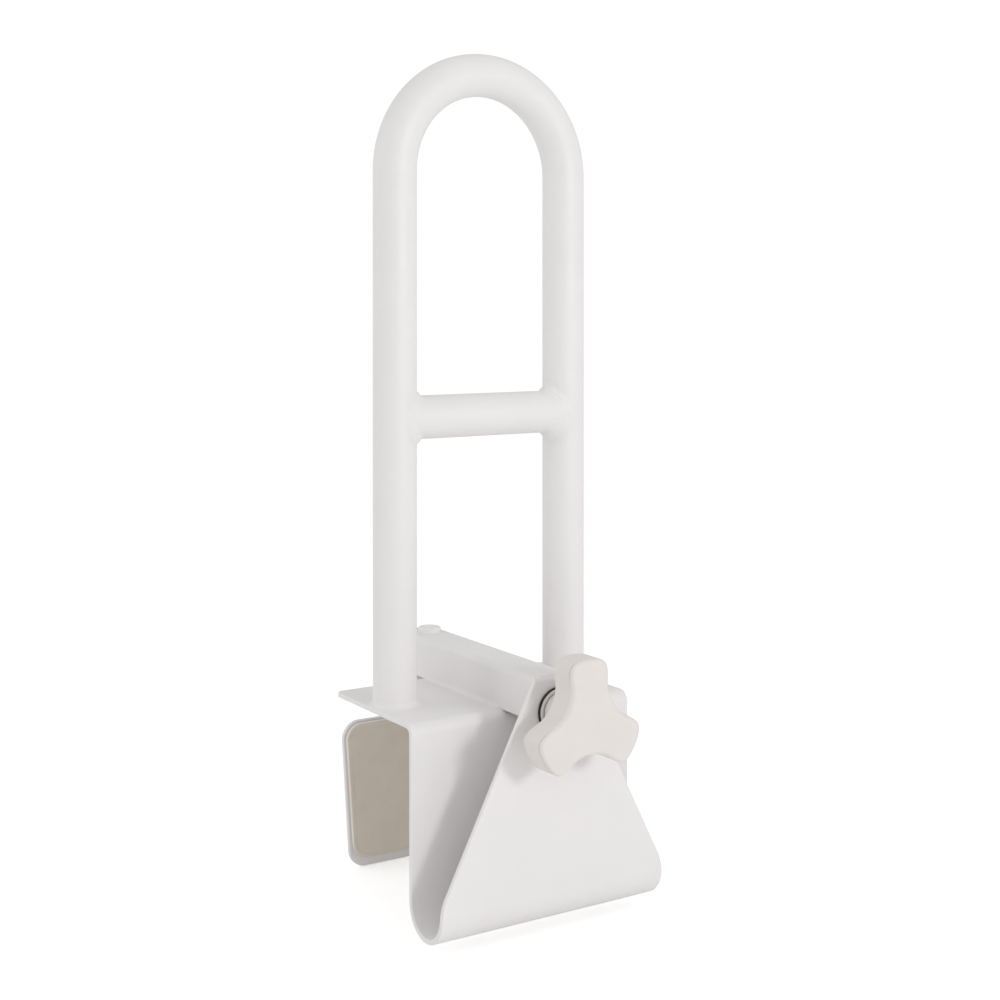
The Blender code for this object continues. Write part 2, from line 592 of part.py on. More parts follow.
def build_knob():
    """The lobed knob with its hub and hexagonal insert, and the axis that the turning pieces hang on."""
    lobe_rear = KNOB_FRONT + KNOB_LOBE_DEPTH
    knob = flat_piece("knob_body", knob_outline(), KNOB_FRONT, lobe_rear, "Y", WHITE_PLASTIC)
    bevel = knob.modifiers.new("soft_edges", "BEVEL")
    bevel.width = KNOB_EDGE
    bevel.segments = 3
    bevel.limit_method = "ANGLE"
    bevel.angle_limit = math.radians(60)
    inside_lobes = lobe_rear - KNOB_LOBE_DEPTH / 4
    hub = rod("knob_hub", (0, inside_lobes, SCREW_Z), (0, HUB_REAR, SCREW_Z), HUB_RADIUS, None)
    cut(knob, hub, "UNION")
    corner = INSERT_HALF / math.cos(math.pi / 6)
    pocket = rod("knob_pocket", (0, INSERT_FRONT - POCKET_DEPTH, SCREW_Z), (0, HUB_REAR + THROUGH, SCREW_Z),
                 corner + GAP, None)
    cut(knob, pocket)
    insert_rear = HUB_REAR - GAP
    insert = flat_piece("knob_insert", hexagon(INSERT_HALF, 0, SCREW_Z, 0), INSERT_FRONT, insert_rear, "Y",
                        BRASS)
    cut(insert, rod("insert_bore", (0, INSERT_FRONT - THROUGH, SCREW_Z), (0, HUB_REAR + THROUGH, SCREW_Z),
                    SCREW_RADIUS + GAP, None))
    # the knob and everything pinned to the screw turn about the screw's axis
    axis = bpy.data.objects.new("screw_axis", None)
    axis.location = (0, FLAP_FRONT, SCREW_Z)
    PARTS.objects.link(axis)
    bpy.context.view_layer.update()
    for name in ("knob_body", "knob_insert", "clamp_screw", "knob_washer", "retaining_collar", "collar_pin"):
        piece = bpy.data.objects[name]
        piece.parent = axis
        piece.matrix_parent_inverse = axis.matrix_world.inverted()


build_handle()
build_bracket()
build_channel()
build_stop_bolt()
build_carriage()
build_jaw()
build_front_pad()
build_screw()
build_knob()
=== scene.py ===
"""Looks of the clamp-on bath-tub grab bar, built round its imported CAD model.

Frame: +X along the rim from the left post to the right post, +Y from the knob to the rear jaw, +Z up.
"""
import json
import math

import bmesh
import bpy
import numpy as np
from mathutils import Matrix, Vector


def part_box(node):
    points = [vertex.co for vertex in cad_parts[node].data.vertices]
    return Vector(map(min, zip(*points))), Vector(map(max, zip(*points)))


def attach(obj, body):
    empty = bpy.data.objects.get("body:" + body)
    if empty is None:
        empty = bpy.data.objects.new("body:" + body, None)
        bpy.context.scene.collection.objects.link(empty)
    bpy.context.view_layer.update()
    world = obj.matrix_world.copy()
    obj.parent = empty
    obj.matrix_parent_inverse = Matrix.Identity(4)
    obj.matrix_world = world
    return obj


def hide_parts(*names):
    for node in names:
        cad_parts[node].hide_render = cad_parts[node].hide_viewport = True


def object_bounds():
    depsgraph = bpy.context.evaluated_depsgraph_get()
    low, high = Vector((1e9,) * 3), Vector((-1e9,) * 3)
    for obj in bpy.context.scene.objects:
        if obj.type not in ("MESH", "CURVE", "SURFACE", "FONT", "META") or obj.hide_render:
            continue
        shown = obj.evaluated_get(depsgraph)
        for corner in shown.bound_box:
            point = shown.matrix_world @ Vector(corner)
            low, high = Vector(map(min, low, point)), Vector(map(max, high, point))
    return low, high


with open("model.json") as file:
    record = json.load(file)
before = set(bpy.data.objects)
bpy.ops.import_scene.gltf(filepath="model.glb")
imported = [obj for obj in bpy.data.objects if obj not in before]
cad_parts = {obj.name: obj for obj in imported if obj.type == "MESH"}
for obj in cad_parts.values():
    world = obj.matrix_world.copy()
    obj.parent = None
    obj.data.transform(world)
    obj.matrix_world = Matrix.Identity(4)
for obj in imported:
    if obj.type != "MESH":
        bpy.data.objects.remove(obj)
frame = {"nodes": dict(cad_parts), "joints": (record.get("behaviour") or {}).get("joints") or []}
CAD_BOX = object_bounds()

MM = 0.001
SHARP = math.radians(48)        # edges steeper than this stay crisp in the shading
SAME_POINT = 0.01 * MM          # outline points closer than this are one point
WELD_DISTANCE = 0.002 * MM      # mesh points closer than this are merged
PLATE_RIM = 0.12 * MM           # flat rim inside a plate's rounded edge
PLATE_EDGE_STEPS = 4
PIECES = bpy.data.collections.new("grab_bar_pieces")
bpy.context.scene.collection.children.link(PIECES)


# ---------------------------------------------------------------- positions taken from the CAD

def low(node):
    """The lowest corner of a CAD node's box at rest."""
    return Vector(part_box(node)[0])


def high(node):
    """The highest corner of a CAD node's box at rest."""
    return Vector(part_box(node)[1])


TUBE = (high("handle_tube").y - low("handle_tube").y) / 2
TUBE_WALL = 1.6 * MM
POST_X = high("handle_tube").x - TUBE
HANDLE_TOP = high("handle_tube").z
BAR_Z = (high("crossbar").z + low("crossbar").z) / 2
PLATE_HALF = high("clamp_bracket").x
SHEET = 3.0 * MM
PLATE_REAR = high("clamp_bracket").y
FRONT_FACE = -PLATE_REAR
FLAP_FRONT = low("clamp_bracket").y
FLAP_REAR = FLAP_FRONT + SHEET
FOLD_BOTTOM = low("clamp_bracket").z
ARM_HALF = high("guide_channel").x
ARM_TOP = high("guide_channel").z
ARM_REAR = high("guide_channel").y
ARM_SHEET = 2.5 * MM
SCREW_Z = (high("clamp_screw").z + low("clamp_screw").z) / 2
SCREW_RADIUS = (high("clamp_screw").x - low("clamp_screw").x) / 2
SIDES = ((-1, "left"), (1, "right"))


# ---------------------------------------------------------------- meshes

def mesh_object(name, points, faces, body):
    """A smooth-shaded mesh from points and faces, welded and with outward normals, riding on a body."""
    mesh = bpy.data.meshes.new(name)
    mesh.from_pydata([tuple(p) for p in points], [], [tuple(f) for f in faces])
    work = bmesh.new()
    work.from_mesh(mesh)
    bmesh.ops.remove_doubles(work, verts=work.verts, dist=WELD_DISTANCE)
    bmesh.ops.dissolve_degenerate(work, edges=work.edges, dist=WELD_DISTANCE / 2)
    bmesh.ops.recalc_face_normals(work, faces=work.faces)
    work.to_mesh(mesh)
    work.free()
    mesh.shade_smooth()
    mesh.set_sharp_from_angle(angle=SHARP)
    obj = bpy.data.objects.new(name, mesh)
    PIECES.objects.link(obj)
    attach(obj, body)
    return obj


def loft(name, rings, body, closed=False):
    """A skin over a row of rings with equal numbers of points; its ends are capped unless it closes."""
    rings = np.asarray(rings, float)
    count, around, _ = rings.shape
    faces = []
    for i in range(count if closed else count - 1):
        here, there = i * around, (i + 1) % count * around
        for j in range(around):
            k = (j + 1) % around
            faces.append((here + j, here + k, there + k, there + j))
    if not closed:
        faces.append(tuple(range(around)))
        faces.append(tuple((count - 1) * around + j for j in range(around)))
    return mesh_object(name, rings.reshape(-1, 3), faces, body)


def rounded(corners, step=math.radians(5)):
    """Points of a closed outline given as corners (x, y, radius), with each radius as a fine arc."""
    points = []
    for i, (x, y, radius) in enumerate(corners):
        if radius == 0:
            points.append((x, y))
            continue
        before, after = corners[i - 1], corners[(i + 1) % len(corners)]
        to_before = math.atan2(before[1] - y, before[0] - x)
        to_after = math.atan2(after[1] - y, after[0] - x)
        opening = (to_after - to_before + math.pi) % (2 * math.pi) - math.pi
        turn = math.copysign(math.pi - abs(opening), opening)
        reach = radius / math.sin(abs(opening) / 2)
        middle = to_before + opening / 2
        centre = (x + reach * math.cos(middle), y + reach * math.sin(middle))
        first = to_before - math.copysign(math.pi / 2, opening)
        steps = max(2, math.ceil(abs(turn) / step))
        for k in range(steps + 1):
            angle = first - turn * k / steps
            points.append((centre[0] + radius * math.cos(angle), centre[1] + radius * math.sin(angle)))
    return np.array([p for i, p in enumerate(points) if math.dist(p, points[i - 1]) > SAME_POINT])


def inward(outline):
    """Unit normals at the points of a closed outline, towards its inside."""
    following, before = np.roll(outline, -1, 0), np.roll(outline, 1, 0)
    a = following - outline
    b = outline - before
    a /= np.linalg.norm(a, axis=1)[:, None]
    b /= np.linalg.norm(b, axis=1)[:, None]
    along = a + b
    along /= np.linalg.norm(along, axis=1)[:, None]
    x, y = outline[:, 0], outline[:, 1]
    area = np.sum(x * np.roll(y, -1) - y * np.roll(x, -1))
    normal = np.stack([-along[:, 1], along[:, 0]], 1) * math.copysign(1, area)
    stretch = 1 / np.clip(np.sum(along * a, 1), 0.4, 1)
    return normal * stretch[:, None]


def in_space(points, across, height):
    """Outline points set at a height along X, Y or Z; they lie in the other two axes, in their order."""
    points = np.asarray(points)
    level = np.full(len(points), height)
    columns = {"X": (level, points[:, 0], points[:, 1]), "Y": (points[:, 0], level, points[:, 1]),
               "Z": (points[:, 0], points[:, 1], level)}[across]
    return np.stack(columns, 1)


def quarter(steps):
    """Sine and cosine of evenly spaced angles from 0 to 90 degrees."""
    angles = [math.pi / 2 * k / steps for k in range(steps + 1)]
    return [(math.sin(angle), math.cos(angle)) for angle in angles]


def plate(name, outline, start, end, across, edge, body):
    """A flat piece with rounded edges, extruded between two heights. A narrow rim keeps its faces flat."""
    normal = inward(outline)
    inset = edge * math.copysign(1, end - start)
    rows = [(start, edge + PLATE_RIM)]
    rows += [(start + inset * (1 - c), edge * (1 - s)) for s, c in quarter(PLATE_EDGE_STEPS)]
    rows += [(end - inset * (1 - s), edge * (1 - c)) for s, c in quarter(PLATE_EDGE_STEPS)]
    rows.append((end, edge + PLATE_RIM))
    return loft(name, [in_space(outline + normal * reach, across, height) for height, reach in rows], body)


def turned(name, profile, centre, axis, body, steps=96):
    """Turn a closed profile of (radius, height) about an axis through centre; heights run along it."""
    axis = Vector(axis).normalized()
    side = axis.orthogonal().normalized()
    other = axis.cross(side)
    rings = []
    for k in range(steps):
        angle = 2 * math.pi * k / steps
        out = side * math.cos(angle) + other * math.sin(angle)
        rings.append([Vector(centre) + out * radius + axis * height for radius, height in profile])
    return loft(name, rings, body, closed=True)


def soft_profile(corners):
    """A profile to turn, from corners (radius, height, rounding)."""
    return [tuple(p) for p in rounded(corners, math.radians(18))]


# ---------------------------------------------------------------- materials

def new_material(name):
    material = bpy.data.materials.new(name)
    material.use_nodes = True
    tree = material.node_tree
    return material, tree, tree.nodes["Principled BSDF"]


def place_node(tree, kind, **inputs):
    node = tree.nodes.new(kind)
    for key, value in inputs.items():
        node.inputs[key.replace("_", " ")].default_value = value
    return node


def noise(tree, scale, detail=3.0, roughness=0.5):
    """Noise in metres on the object, so that its grain has a real size."""
    where = tree.nodes.get("where") or tree.nodes.new("ShaderNodeTexCoord")
    where.name = "where"
    node = place_node(tree, "ShaderNodeTexNoise", Scale=scale, Detail=detail, Roughness=roughness)
    tree.links.new(where.outputs["Object"], node.inputs["Vector"])
    return node


def ramp(tree, source, stops):
    """A colour ramp on a source, from (position, colour) stops."""
    node = tree.nodes.new("ShaderNodeValToRGB")
    while len(node.color_ramp.elements) < len(stops):
        node.color_ramp.elements.new(0.5)
    for element, (at, colour) in zip(node.color_ramp.elements, stops):
        element.position = at
        element.color = (*colour, 1)
    tree.links.new(source, node.inputs["Fac"])
    return node


def spread(tree, source, low_value, high_value):
    """Map the middle of a noise's range to a range of values."""
    node = place_node(tree, "ShaderNodeMapRange", From_Min=0.3, From_Max=0.7)
    node.inputs["To Min"].default_value = low_value
    node.inputs["To Max"].default_value = high_value
    tree.links.new(source, node.inputs["Value"])
    return node


def bump(tree, shader, layers):
    """Stack bump layers of (height source, depth in metres) on a shader's normal."""
    last = None
    for source, depth in layers:
        node = place_node(tree, "ShaderNodeBump", Strength=1.0, Distance=depth)
        tree.links.new(source, node.inputs["Height"])
        if last:
            tree.links.new(last.outputs["Normal"], node.inputs["Normal"])
        last = node
    tree.links.new(last.outputs["Normal"], shader.inputs["Normal"])


def shade(colour, factor):
    return tuple(c * factor for c in colour)


def surface(tree, shader, tone, stops, grain, roughness):
    """Colour from a tone noise through (position, colour) stops, roughness from a grain noise."""
    tint = ramp(tree, tone.outputs["Fac"], stops)
    tree.links.new(tint.outputs["Color"], shader.inputs["Base Color"])
    polish = spread(tree, grain.outputs["Fac"], *roughness)
    tree.links.new(polish.outputs["Result"], shader.inputs["Roughness"])


def powder_coat(name, colour):
    """Baked white powder coat: satin gloss, fine orange peel, faint long waves and a few dull patches."""
    material, tree, shader = new_material(name)
    peel, wave = noise(tree, 850, 2.0), noise(tree, 120, 2.0)
    tone, dull = noise(tree, 28, 4.0), noise(tree, 60, 5.0, 0.6)
    surface(tree, shader, tone, [(0.30, shade(colour, 0.975)), (0.70, colour)], dull, (0.40, 0.52))
    bump(tree, shader, [(wave.outputs["Fac"], 0.00010), (peel.outputs["Fac"], 0.000022)])
    shader.inputs["IOR"].default_value = 1.5
    return material


def moulded_plastic(name, colour):
    """Injection-moulded white plastic: fine spark-eroded grain, slightly waxy, warmer than the steel."""
    material, tree, shader = new_material(name)
    grain, wave, tone = noise(tree, 2600, 3.0, 0.7), noise(tree, 160, 2.0), noise(tree, 45, 3.0)
    surface(tree, shader, tone, [(0.30, shade(colour, 0.97)), (0.70, colour)], grain, (0.46, 0.58))
    bump(tree, shader, [(wave.outputs["Fac"], 0.00008), (grain.outputs["Fac"], 0.000018)])
    shader.inputs["IOR"].default_value = 1.46
    return material


def pad_rubber(name, colour):
    """Closed, fine-grained rubber: matt, with a slight sheen, tiny pits and uneven tone."""
    material, tree, shader = new_material(name)
    grain, tone = noise(tree, 3200, 4.0, 0.65), noise(tree, 70, 5.0, 0.6)
    stops = [(0.25, shade(colour, 0.94)), (0.75, shade(colour, 1.03))]
    surface(tree, shader, tone, stops, grain, (0.68, 0.82))
    pits = place_node(tree, "ShaderNodeTexVoronoi", Scale=1500)
    tree.links.new(tree.nodes["where"].outputs["Object"], pits.inputs["Vector"])
    bump(tree, shader, [(pits.outputs["Distance"], 0.00004), (grain.outputs["Fac"], 0.00003)])
    shader.inputs["Sheen Weight"].default_value = 0.15
    shader.inputs["Sheen Roughness"].default_value = 0.5
    return material


def turned_metal(name, colour, roughness, scratch, axis):
    """Plated or turned metal: fine machining lines, small stains and a changing polish."""
    material, tree, shader = new_material(name)
    tone, grain = noise(tree, 90, 5.0, 0.6), noise(tree, 900, 3.0)
    stretch = place_node(tree, "ShaderNodeMapping")
    stretch.inputs["Scale"].default_value = axis
    tree.links.new(tree.nodes["where"].outputs["Object"], stretch.inputs["Vector"])
    lines = place_node(tree, "ShaderNodeTexNoise", Scale=1400, Detail=4.0, Roughness=0.6)
    tree.links.new(stretch.outputs["Vector"], lines.inputs["Vector"])
    stops = [(0.30, shade(colour, 0.86)), (0.70, colour)]
    surface(tree, shader, tone, stops, grain, (roughness * 0.75, roughness * 1.3))
    bump(tree, shader, [(lines.outputs["Fac"], scratch)])
    shader.inputs["Metallic"].default_value = 1.0
    return material


def nylon(name, colour):
    """Dark, fine-grained nylon."""
    material, tree, shader = new_material(name)
    grain, tone = noise(tree, 1800, 3.0), noise(tree, 120, 3.0)
    surface(tree, shader, tone, [(0.30, shade(colour, 0.8)), (0.70, colour)], grain, (0.42, 0.55))
    bump(tree, shader, [(grain.outputs["Fac"], 0.00002)])
    return material


FINISHES = {
    "white_powder_coat": powder_coat("white_powder_coat_finish", (0.834, 0.816, 0.810)),
    "white_moulded_plastic": moulded_plastic("white_moulded_plastic_finish", (0.775, 0.738, 0.709)),
    "taupe_rubber": pad_rubber("taupe_rubber_finish", (0.700, 0.635, 0.555)),
    "chrome_washer": turned_metal("chrome_finish", (0.80, 0.79, 0.77), 0.16, 0.000004, (1, 12, 1)),
    "zinc_plated_steel": turned_metal("zinc_finish", (0.62, 0.62, 0.60), 0.36, 0.00001, (1, 10, 1)),
    "brass_insert": turned_metal("brass_finish", (0.72, 0.55, 0.28), 0.34, 0.00001, (1, 10, 1)),
    "dark_nylon": nylon("dark_nylon_finish", (0.020, 0.018, 0.018)),
}
# a lighter cream rubber for the pads' side walls: painted light, standing in for the light that falls on
# them
PAD_SIDE_PAINTED_LIGHT = pad_rubber("pad_side_painted_light", (0.80, 0.76, 0.71))


def dress(obj, slot, *nodes):
    """Give a piece its finish and slot, and let it stand for its CAD nodes."""
    obj.data.materials.clear()
    obj.data.materials.append(FINISHES[slot])
    if nodes:
        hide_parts(*nodes)
    return obj


# ---------------------------------------------------------------- handle and crossbar

TUBE_SIDES = 112


def circle(count, radius):
    """The two coordinates of evenly spaced points on a circle."""
    angle = np.linspace(0, 2 * math.pi, count, endpoint=False)
    return radius * np.cos(angle), radius * np.sin(angle)


def build_handle():
    """One tube up the left post, round the arch and down the right post, open at both feet."""
    foot = low("handle_tube").z
    arch_z = HANDLE_TOP - TUBE - POST_X
    stations = [(Vector((-POST_X, 0, foot)), Vector((1, 0, 0)))]
    arch_steps = 120
    for k in range(arch_steps + 1):
        angle = math.pi * (1 - k / arch_steps)
        out = Vector((math.cos(angle), 0, math.sin(angle)))
        stations.append((Vector((0, 0, arch_z)) + out * POST_X, -out))
    stations.append((Vector((POST_X, 0, foot)), Vector((-1, 0, 0))))
    rings = []
    for radius, row in ((TUBE, stations), (TUBE - TUBE_WALL, stations[::-1])):
        across, deep = circle(TUBE_SIDES, radius)
        for centre, side in row:
            rings.append([centre + side * a + Vector((0, d, 0)) for a, d in zip(across, deep)])
    dress(loft("handle_tube_skin", rings, "root", closed=True), "white_powder_coat", "handle_tube")


def build_crossbar():
    """The tube between the posts; each end stops a little inside the post's own wall all round."""
    sink = 1.0 * MM
    rings = []
    for radius, order in ((TUBE, (-1, 1)), (TUBE - TUBE_WALL, (1, -1))):
        deep, up = circle(TUBE_SIDES, radius)
        reach = [max(math.sqrt(max(TUBE ** 2 - y ** 2, 0)) - sink, sink) for y in deep]
        for side in order:
            rings.append([(side * (POST_X - x), y, BAR_Z + z) for x, y, z in zip(reach, deep, up)])
    dress(loft("crossbar_skin", rings, "root", closed=True), "white_powder_coat", "crossbar")


def joint_field(p, side):
    """The soft union of one post and the crossbar: its value and gradient at points p, as arrays."""
    blend_leg, fade_width, thinnest = 5.4 * MM, 5.0 * MM, 0.22
    from_post = np.stack([p[:, 0] - side * POST_X, p[:, 1], np.zeros(len(p))], 1)
    from_bar = np.stack([np.zeros(len(p)), p[:, 1], p[:, 2] - BAR_Z], 1)
    post_length = np.linalg.norm(from_post, axis=1)
    bar_length = np.linalg.norm(from_bar, axis=1)
    post_normal = from_post / post_length[:, None]
    bar_normal = from_bar / bar_length[:, None]
    a, b = post_length - TUBE, bar_length - TUBE
    # where the two tubes' sides run level, the bead thins out to nothing at the post's middle
    beside = np.clip(-side * from_post[:, 0] / fade_width, 0.001, 1)
    apart = np.clip(1 - np.sum(post_normal * bar_normal, 1), 0, 1)
    leg = blend_leg * (thinnest + (1 - thinnest) * apart) * beside
    h = np.clip(1 - np.abs(a - b) / leg, 0, 1)
    value = np.minimum(a, b) - h * h * leg / 4
    share = np.where(a < b, 1 - h / 2, h / 2)
    gradient = post_normal * share[:, None] + bar_normal * (1 - share)[:, None]
    gradient /= np.linalg.norm(gradient, axis=1)[:, None]
    return value, gradient, post_normal, bar_normal, h, leg


def build_crossbar_weld(side, name):
    """A paint-filled bead: lines run along the crossbar and turn up onto the post on the soft union."""
    count, steps, stride, settling = 240, 34, 0.42 * MM, 4
    thick = 0.9 * MM
    over, under = 0.01 * MM, -0.01 * MM     # the skin's height along the bead and at its ends
    deep, up = circle(count, TUBE)
    bar_reach = 6.4 * MM
    start = np.sqrt(np.maximum(TUBE ** 2 - deep ** 2, 0)) + bar_reach
    p = np.stack([side * (POST_X - start), deep, BAR_Z + up], 1)
    turn = np.linspace(0, 2 * math.pi, count, endpoint=False)
    outer, inner = [], []
    for i in range(steps):
        for _ in range(settling):
            value, gradient, post_normal, bar_normal, h, leg = joint_field(p, side)
            p = p - gradient * value[:, None]
        ripple = 0.045 * MM * h * np.sin(turn * 46 + 2.2 * np.sin(turn * 5) + i * 0.12)
        fade = min(min(i, steps - 1 - i) / 3, 1)
        toe = 0.10 * MM * np.exp(-((h - 0.07) / 0.05) ** 2)     # the fine line along the bead's edges
        crown = 0.17 * leg * h * h - toe
        outer.append(p + gradient * (under + (over - under) * fade + (ripple + crown) * fade)[:, None])
        inner.append(p - gradient * thick)
        wish = bar_normal - post_normal
        wish -= gradient * np.sum(wish * gradient, 1)[:, None]
        length = np.linalg.norm(wish, axis=1)[:, None]
        p = p + wish / np.maximum(length, 0.08) * stride
    bead = loft("crossbar_weld_bead_" + name, outer + inner[::-1], "root", closed=True)
    dress(bead, "white_powder_coat", "crossbar_weld_" + name)


def build_post_weld(side, name):
    """The fillet of weld round a post's foot, rippled under its paint and flush with the plate's edge."""
    leg, shrink, proud, sink = 3.4 * MM, 0.96, 0.02 * MM, 0.9 * MM
    tube_sink = 1.2 * MM
    side_limit = PLATE_HALF - 0.05 * MM
    steps, bends = 216, 9
    rings = []
    for k in range(steps):
        angle = 2 * math.pi * k / steps
        out = Vector((math.cos(angle), math.sin(angle), 0))
        centre = Vector((side * POST_X, 0, 0))
        size = leg * shrink * (1 + 0.035 * math.sin(angle * 40 + 2 * math.sin(angle * 3))
                               + 0.05 * math.sin(angle * 2 + side))
        section = [(TUBE - tube_sink, SHEET + leg * 1.05)]
        section += [(TUBE + proud + size * (1 - c), SHEET + proud + size * (1 - s))
                    for s, c in quarter(bends)]
        section += [(TUBE + leg * 0.9, SHEET - sink), (TUBE - tube_sink, SHEET - sink)]
        ring = []
        for radius, height in section:
            point = centre + out * radius
            ring.append((max(-side_limit, min(side_limit, point.x)), point.y, height))
        rings.append(ring)
    bead = loft("post_weld_bead_" + name, rings, "root", closed=True)
    dress(bead, "white_powder_coat", "post_weld_" + name)


# ---------------------------------------------------------------- bracket

def bracket_path():
    """The sheet's middle line, top plate's rear to flap's top: rows of place, normal and length so far."""
    middle = SHEET / 2
    bend = 6.5 * MM - middle        # outer radii less half the sheet
    fold = 18.0 * MM - middle
    front_y, flap_y = FRONT_FACE + middle, FLAP_FRONT + middle
    path = []

    def straight(start, end, normal, count):
        for k in range(count):
            t = k / (count - 1)
            y, z = start[0] + (end[0] - start[0]) * t, start[1] + (end[1] - start[1]) * t
            path.append((y, z, *normal))

    def arc(centre, radius, first, last, sign, count):
        for k in range(1, count):
            angle = math.radians(first + (last - first) * k / count)
            c, s = math.cos(angle), math.sin(angle)
            path.append((centre[0] + radius * c, centre[1] + radius * s, sign * c, sign * s))

    top_z = middle
    straight((PLATE_REAR, top_z), (PLATE_REAR - 9 * MM, top_z), (0, 1), 31)
    straight((PLATE_REAR - 12 * MM, top_z), (front_y + bend, top_z), (0, 1), 6)
    arc((front_y + bend, top_z - bend), bend, 90, 180, 1, 14)
    fold_z = FOLD_BOTTOM + middle + fold
    straight((front_y, top_z - bend), (front_y, fold_z), (-1, 0), 8)
    arc((front_y - fold, fold_z), fold, 0, -180, -1, 40)
    straight((flap_y, fold_z), (flap_y, fold_z + 16 * MM), (1, 0), 22)
    straight((flap_y, fold_z + 20 * MM), (flap_y, ARM_TOP - 4 * MM), (1, 0), 10)
    straight((flap_y, ARM_TOP - 3.2 * MM), (flap_y, ARM_TOP), (1, 0), 22)
    length = 0.0
    rows = []
    for i, (y, z, ny, nz) in enumerate(path):
        if i:
            length += math.hypot(y - path[i - 1][0], z - path[i - 1][1])
        rows.append((y, z, ny, nz, length))
    return rows


def rounding(radius, distance):
    """How far a corner of this radius falls back at a distance from its end."""
    return radius - math.sqrt(max(radius ** 2 - (radius - distance) ** 2, 0))


def flap_half_width(above_shoulder, slope, radius):
    """The flap's half width at a height above its shoulder corner, with the corner rounded."""
    turn = math.atan(slope)
    tangent = radius * math.tan(turn / 2)
    if above_shoulder <= -tangent:
        return PLATE_HALF
    if above_shoulder >= tangent * math.cos(turn):
        return PLATE_HALF - slope * above_shoulder
    return PLATE_HALF - radius + math.sqrt(radius ** 2 - (above_shoulder + tangent) ** 2)


def build_bracket():
    """Top plate, front plate, U fold and flap: one sheet with rounded edges, bored for the screw."""
    rows = bracket_path()
    total = rows[-1][4]
    shoulder_z, top_half, taper_reach = -88.5 * MM, 13.9 * MM, 130 * MM
    slope = (PLATE_HALF - top_half) / (ARM_TOP - shoulder_z)
    corner, shoulder, edge, rim = 5.0 * MM, 30 * MM, 0.75 * MM, 0.15 * MM
    flap_end = 2.5 * MM
    rings = []
    for y, z, ny, nz, length in rows:
        half = PLATE_HALF
        if length < corner:
            half -= rounding(corner, length)
        from_top = total - length
        if from_top < taper_reach:
            half = min(half, flap_half_width(ARM_TOP - from_top - shoulder_z, slope, shoulder))
        outer, inner = SHEET / 2, -SHEET / 2
        if length < edge:
            outer -= rounding(edge, length)
            inner += rounding(edge, length)
        # the flap's path runs with its normal towards the rear, so its front is the normal's far side
        if from_top < flap_end:
            inner += rounding(flap_end, from_top)
        radius = min(edge, (outer - inner) / 2 - 0.02 * MM)
        x_flat, high_flat, low_flat = half - radius, outer - radius, inner + radius
        corners = quarter(5)
        section = [(-x_flat + rim, outer), (x_flat - rim, outer)]
        section += [(x_flat + radius * s, high_flat + radius * c) for s, c in corners]
        section += [(x_flat + radius * c, low_flat - radius * s) for s, c in corners]
        section += [(x_flat - rim, inner), (-x_flat + rim, inner)]
        section += [(-x_flat - radius * s, low_flat - radius * c) for s, c in corners]
        section += [(-x_flat - radius * c, high_flat + radius * s) for s, c in corners]
        rings.append([(x, y + ny * out, z + nz * out) for x, out in section])
    sheet = loft("clamp_bracket_sheet", rings, "root")
    past = 5 * MM
    bore(sheet, (0, FLAP_FRONT - past, SCREW_Z), (0, FLAP_REAR + past, SCREW_Z), SCREW_RADIUS + 0.6 * MM)
    dress(sheet, "white_powder_coat", "clamp_bracket")


def bore(obj, start, end, radius):
    """Cut a round hole through a piece."""
    sides = 48
    start, end = Vector(start), Vector(end)
    axis = (end - start).normalized()
    side = axis.orthogonal().normalized()
    other = axis.cross(side)
    turns = [2 * math.pi * k / sides for k in range(sides)]
    rings = [[point + (side * math.cos(t) + other * math.sin(t)) * radius for t in turns]
             for point in (start, end)]
    subtract(obj, loft("drill", rings, "root"), "EXACT", math.radians(50))


def subtract(obj, cutter, solver, sharp):
    """Cut one closed piece from another, apply the cut and remove the cutter."""
    modifier = obj.modifiers.new("cut", "BOOLEAN")
    modifier.operation = "DIFFERENCE"
    modifier.solver = solver
    modifier.object = cutter
    graph = bpy.context.evaluated_depsgraph_get()
    made = bpy.data.meshes.new_from_object(obj.evaluated_get(graph))
    obj.modifiers.clear()
    old = obj.data
    obj.data = made
    bpy.data.meshes.remove(old)
    bpy.data.objects.remove(cutter, do_unlink=True)
    obj.data.shade_smooth()
    obj.data.set_sharp_from_angle(angle=sharp)


def triangulate(obj):
    """Split a piece's faces into triangles."""
    work = bmesh.new()
    work.from_mesh(obj.data)
    bmesh.ops.triangulate(work, faces=work.faces)
    work.to_mesh(obj.data)
    work.free()


# ---------------------------------------------------------------- guide channel, carriage and jaw

def folded_channel(name, half, bottom, top, bend, start, end, body, edge):
    """A channel open below, folded from sheet and run along Y, with rounded sheet edges."""
    inner = max(bend - ARM_SHEET, 0.3 * MM)
    ceiling = top - ARM_SHEET
    inside = half - ARM_SHEET
    lip = edge + 0.15 * MM      # more than the inset of the ends, or their outline would cross itself
    outline = rounded([
        (-half, bottom, lip), (-half, top, bend), (half, top, bend), (half, bottom, lip),
        (inside, bottom, lip), (inside, ceiling, inner), (-inside, ceiling, inner), (-inside, bottom, lip)],
        math.radians(9))
    return plate(name, outline, start, end, "Y", edge, body)


